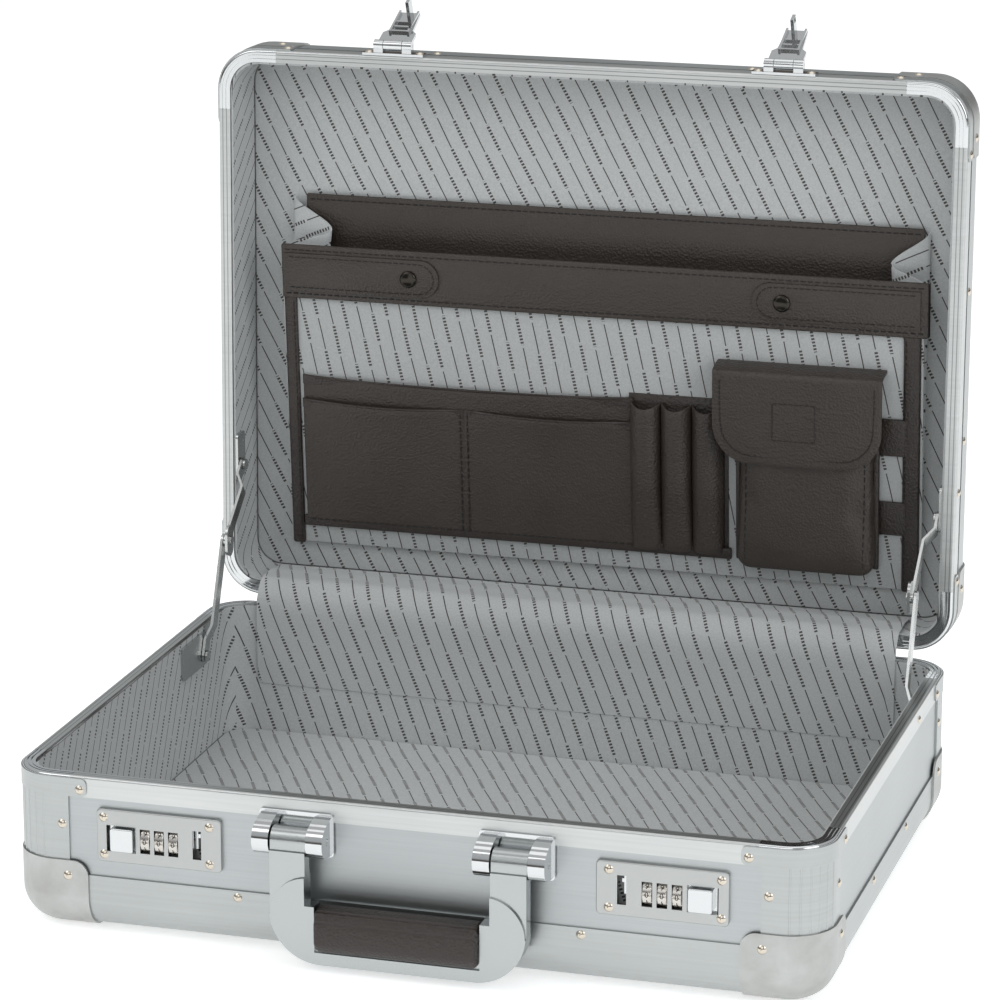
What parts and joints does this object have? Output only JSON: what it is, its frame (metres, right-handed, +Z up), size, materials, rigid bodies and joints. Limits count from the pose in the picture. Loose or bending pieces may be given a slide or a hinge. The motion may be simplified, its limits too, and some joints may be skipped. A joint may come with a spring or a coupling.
{
  "type": "aluminium attache case",
  "caption": "Rectangular aluminium case open on lid stays, with riveted corners, a folding handle, dial locks with hasps and a lid organiser.",
  "frame": {"origin": "centre of the underside, in the plane the four lower corner caps rest on", "axes": "+X right and +Y back as seen from the handle side, +Z up; the lid is open as stored"},
  "size_m": [0.4648, 0.4273, 0.4657],
  "materials": {
    "panel_aluminium": "satin anodised sheet over board",
    "profile_aluminium": "satin anodised extrusion",
    "cap_aluminium": "satin pressed cap",
    "polished_chrome": "polished",
    "satin_chrome": "satin",
    "rivet_nickel": "nickel plated, polished",
    "zinc_steel": "zinc plated",
    "dial_nickel": "nickel plated, fluted, with dark digits",
    "lining_fabric": "woven grey lining with a fine stripe",
    "organiser_leather": "dark grained leathercloth, stitched",
    "grip_leather": "dark grained leathercloth"
  },
  "bodies": {
    "base": {"base_ball_corners": "cap_aluminium", "base_bottom_panel": "panel_aluminium", "base_corner_profiles": "profile_aluminium", "base_edge_profiles": "profile_aluminium", "base_front_panel": "panel_aluminium", "base_hinge_leaf": "profile_aluminium", "base_lining": "lining_fabric", "base_rear_panel": "panel_aluminium", "base_rim_corners": "polished_chrome", "base_rim_covers": "profile_aluminium", "base_rim_rails": "profile_aluminium", "base_rivets": "rivet_nickel", "base_side_panels": "panel_aluminium", "base_stay_brackets": "zinc_steel", "button_springs": "zinc_steel", "dial_axles": "zinc_steel", "handle_brackets": "polished_chrome", "handle_pins": "zinc_steel", "hinge_pin": "zinc_steel", "lock_cases": "zinc_steel", "lock_plates": "satin_chrome"},
    "lid": {"hasp_bases": "polished_chrome", "hasp_pins": "zinc_steel", "lid_ball_corners": "cap_aluminium", "lid_edge_profiles": "profile_aluminium", "lid_front_panel": "panel_aluminium", "lid_hinge_leaf": "profile_aluminium", "lid_lining": "lining_fabric", "lid_rear_panel": "panel_aluminium", "lid_rim_corners": "polished_chrome", "lid_rim_covers": "profile_aluminium", "lid_rim_rails": "profile_aluminium", "lid_rivets": "rivet_nickel", "lid_side_panels": "panel_aluminium", "lid_stay_brackets": "zinc_steel", "lid_top_panel": "panel_aluminium", "organiser_back": "organiser_leather", "organiser_band": "organiser_leather", "organiser_card_pockets": "organiser_leather", "organiser_front": "lining_fabric", "organiser_gussets": "organiser_leather", "organiser_pen_loops": "organiser_leather", "organiser_pouch": "organiser_leather", "organiser_snaps": "rivet_nickel"},
    "handle": {"handle_frame": "satin_chrome", "handle_grip": "grip_leather"},
    "hasp_left": {"hasp_left": "polished_chrome"},
    "button_left": {"button_left": "polished_chrome"},
    "stay_lower_left": {"stay_lower_left": "zinc_steel"},
    "stay_upper_left": {"stay_upper_left": "zinc_steel"},
    "dial_left_1": {"dial_left_1": "dial_nickel"},
    "dial_left_2": {"dial_left_2": "dial_nickel"},
    "dial_left_3": {"dial_left_3": "dial_nickel"},
    "hasp_right": {"hasp_right": "polished_chrome"},
    "button_right": {"button_right": "polished_chrome"},
    "stay_lower_right": {"stay_lower_right": "zinc_steel"},
    "stay_upper_right": {"stay_upper_right": "zinc_steel"},
    "dial_right_1": {"dial_right_1": "dial_nickel"},
    "dial_right_2": {"dial_right_2": "dial_nickel"},
    "dial_right_3": {"dial_right_3": "dial_nickel"}
  },
  "joints": [
    {"name": "lid_hinge", "type": "hinge", "parent": "base", "child": "lid", "pos_m": [0, 0.1735, 0.09165], "axis": [1, 0, 0], "range_deg": [0, 91.5]},
    {"name": "handle_swing", "type": "hinge", "parent": "base", "child": "handle", "pos_m": [0, -0.1795, 0.0715], "axis": [1, 0, 0], "range_deg": [-95, 0]},
    {"name": "hasp_left_flip", "type": "hinge", "parent": "lid", "child": "hasp_left", "pos_m": [-0.1197, 0.1868, 0.44092], "axis": [1, 0, 0], "range_deg": [0, 156], "stiffness_Nm_per_rad": 0.002},
    {"name": "button_left_slide", "type": "slide", "parent": "base", "child": "button_left", "axis": [-1, 0, 0], "range_m": [0, 0.0025], "stiffness_N_per_m": 400},
    {"name": "dial_left_1_turn", "type": "hinge", "parent": "base", "child": "dial_left_1", "pos_m": [-0.1335, -0.1651, 0.0577], "axis": [1, 0, 0], "continuous": true},
    {"name": "dial_left_2_turn", "type": "hinge", "parent": "base", "child": "dial_left_2", "pos_m": [-0.1417, -0.1651, 0.0577], "axis": [1, 0, 0], "continuous": true},
    {"name": "dial_left_3_turn", "type": "hinge", "parent": "base", "child": "dial_left_3", "pos_m": [-0.1499, -0.1651, 0.0577], "axis": [1, 0, 0], "continuous": true},
    {"name": "stay_lower_left_pivot", "type": "hinge", "parent": "base", "child": "stay_lower_left", "pos_m": [-0.2184, 0.1093, 0.0726], "axis": [1, 0, 0], "range_deg": [0, 112]},
    {"name": "stay_upper_left_pivot", "type": "hinge", "parent": "lid", "child": "stay_upper_left", "pos_m": [-0.2184, 0.1821, 0.1752], "axis": [1, 0, 0], "range_deg": [-110.5, 0]},
    {"name": "hasp_right_flip", "type": "hinge", "parent": "lid", "child": "hasp_right", "pos_m": [0.1197, 0.1868, 0.44092], "axis": [1, 0, 0], "range_deg": [0, 156], "stiffness_Nm_per_rad": 0.002},
    {"name": "button_right_slide", "type": "slide", "parent": "base", "child": "button_right", "axis": [1, 0, 0], "range_m": [0, 0.0025], "stiffness_N_per_m": 400},
    {"name": "dial_right_1_turn", "type": "hinge", "parent": "base", "child": "dial_right_1", "pos_m": [0.1335, -0.1651, 0.0577], "axis": [1, 0, 0], "continuous": true},
    {"name": "dial_right_2_turn", "type": "hinge", "parent": "base", "child": "dial_right_2", "pos_m": [0.1417, -0.1651, 0.0577], "axis": [1, 0, 0], "continuous": true},
    {"name": "dial_right_3_turn", "type": "hinge", "parent": "base", "child": "dial_right_3", "pos_m": [0.1499, -0.1651, 0.0577], "axis": [1, 0, 0], "continuous": true},
    {"name": "stay_lower_right_pivot", "type": "hinge", "parent": "base", "child": "stay_lower_right", "pos_m": [0.2184, 0.1093, 0.0726], "axis": [1, 0, 0], "range_deg": [0, 112]},
    {"name": "stay_upper_right_pivot", "type": "hinge", "parent": "lid", "child": "stay_upper_right", "pos_m": [0.2184, 0.1821, 0.1752], "axis": [1, 0, 0], "range_deg": [-110.5, 0]}
  ],
  "couplings": [
    {"joint": "stay_lower_left_pivot", "follows": "lid_hinge", "ratio": 1.223},
    {"joint": "stay_upper_left_pivot", "follows": "lid_hinge", "ratio": -1.205},
    {"joint": "stay_lower_right_pivot", "follows": "lid_hinge", "ratio": 1.223},
    {"joint": "stay_upper_right_pivot", "follows": "lid_hinge", "ratio": -1.205}
  ]
}
